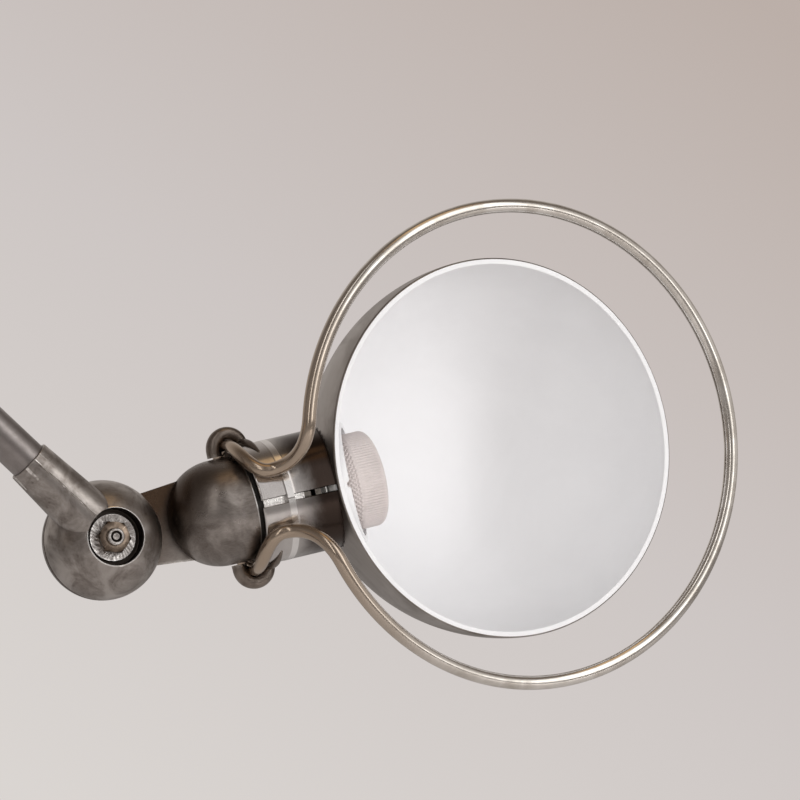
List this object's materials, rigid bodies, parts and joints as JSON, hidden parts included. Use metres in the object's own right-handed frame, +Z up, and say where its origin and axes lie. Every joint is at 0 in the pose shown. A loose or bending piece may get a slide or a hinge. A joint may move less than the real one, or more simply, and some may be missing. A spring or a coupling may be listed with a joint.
{
  "type": "articulated wall lamp",
  "caption": "Wall-mounted workshop lamp with jointed steel arms, ball joints, a round white-lined reflector and a wire handling ring.",
  "frame": {"origin": "centre of the wall plate's back face, which is the centre of the wall screws' circle", "axes": "+X out from the wall, +Z up, and the arms and the head's axis lie in the XZ plane at rest; the reflector opens towards -Y"},
  "size_m": [0.6381, 0.129, 0.3668],
  "materials": {
    "bare_steel": "bare cast steel, filed and waxed, worn brighter on its edges",
    "brushed_tube": "bare steel tube, dark and lightly brushed",
    "brushed_neck": "turned bare steel, scratched, with a bright band",
    "polished_wire": "bright drawn wire with a warm patina",
    "plated_steel": "bright zinc-plated steel",
    "white_enamel": "white stove enamel inside, brushed bare steel outside",
    "black_rubber": "matt",
    "black_plastic": "moulded phenolic",
    "pale_plastic": "moulded, knurled, slightly yellowed grey",
    "white_ceramic": "unglazed porcelain",
    "brass": "plain",
    "copper": "bare copper rods"
  },
  "bodies": {
    "base": {"wall_plate": "bare_steel", "wall_bracket": "bare_steel", "bracket_screws": "plated_steel", "cable_grommet": "black_rubber", "barrel_bushes": "brass"},
    "turret": {"shoulder_base": "bare_steel", "swivel_washer": "plated_steel", "swivel_nut": "plated_steel", "shoulder_axle": "plated_steel", "shoulder_nut": "plated_steel", "shoulder_washer": "plated_steel", "shoulder_springs": "plated_steel", "shoulder_contact_disc": "black_plastic", "shoulder_contact_rings": "brass"},
    "arm_1": {"shoulder_half_ball": "bare_steel", "arm_1_tube": "brushed_tube", "elbow_back_half_ball": "bare_steel", "arm_1_set_screws": "plated_steel", "arm_1_conductors": "copper", "shoulder_pin_holder": "black_plastic", "shoulder_contact_pins": "brass", "elbow_pin_holder": "black_plastic", "elbow_contact_pins": "brass"},
    "arm_2": {"elbow_front_half_ball": "bare_steel", "arm_2_tube": "brushed_tube", "head_half_ball": "bare_steel", "arm_2_set_screws": "plated_steel", "arm_2_conductors": "copper", "elbow_axle": "plated_steel", "elbow_nut": "plated_steel", "elbow_washer": "plated_steel", "elbow_springs": "plated_steel", "elbow_contact_disc": "black_plastic", "elbow_contact_rings": "brass", "head_axle": "plated_steel", "head_nut": "plated_steel", "head_washer": "plated_steel", "head_springs": "plated_steel", "head_contact_disc": "black_plastic", "head_contact_rings": "brass"},
    "knuckle": {"head_knuckle": "bare_steel", "thrust_washer": "black_plastic", "retaining_ring": "plated_steel", "head_pin_holder": "black_plastic", "head_contact_pins": "brass"},
    "head": {"neck_sleeve": "brushed_neck", "neck_bush": "plated_steel", "reflector": "white_enamel", "handling_ring": "polished_wire", "lampholder_plate": "plated_steel", "lampholder_screws": "plated_steel", "lampholder_shell": "white_ceramic", "lampholder_insert": "white_ceramic", "lampholder_contacts": "brass", "shade_ring": "pale_plastic"}
  },
  "joints": [
    {"name": "base_swivel", "type": "hinge", "parent": "base", "child": "turret", "pos_m": [0.06, 0, 0], "axis": [0, 0, 1], "range_deg": [-80, 80]},
    {"name": "shoulder", "type": "hinge", "parent": "turret", "child": "arm_1", "pos_m": [0.06, 0, 0.0713], "axis": [0, -1, 0], "range_deg": [-80, 30]},
    {"name": "elbow", "type": "hinge", "parent": "arm_1", "child": "arm_2", "pos_m": [0.185, 0, 0.28781], "axis": [0, -1, 0], "range_deg": [-38, 90]},
    {"name": "head_tilt", "type": "hinge", "parent": "arm_2", "child": "knuckle", "pos_m": [0.37224, 0, 0.12215], "axis": [0, 1, 0], "range_deg": [-68, 160]},
    {"name": "head_swivel", "type": "hinge", "parent": "knuckle", "child": "head", "pos_m": [0.37224, 0, 0.12215], "axis": [0.9703, 0, 0.2419], "range_deg": [-170, 170]}
  ]
}
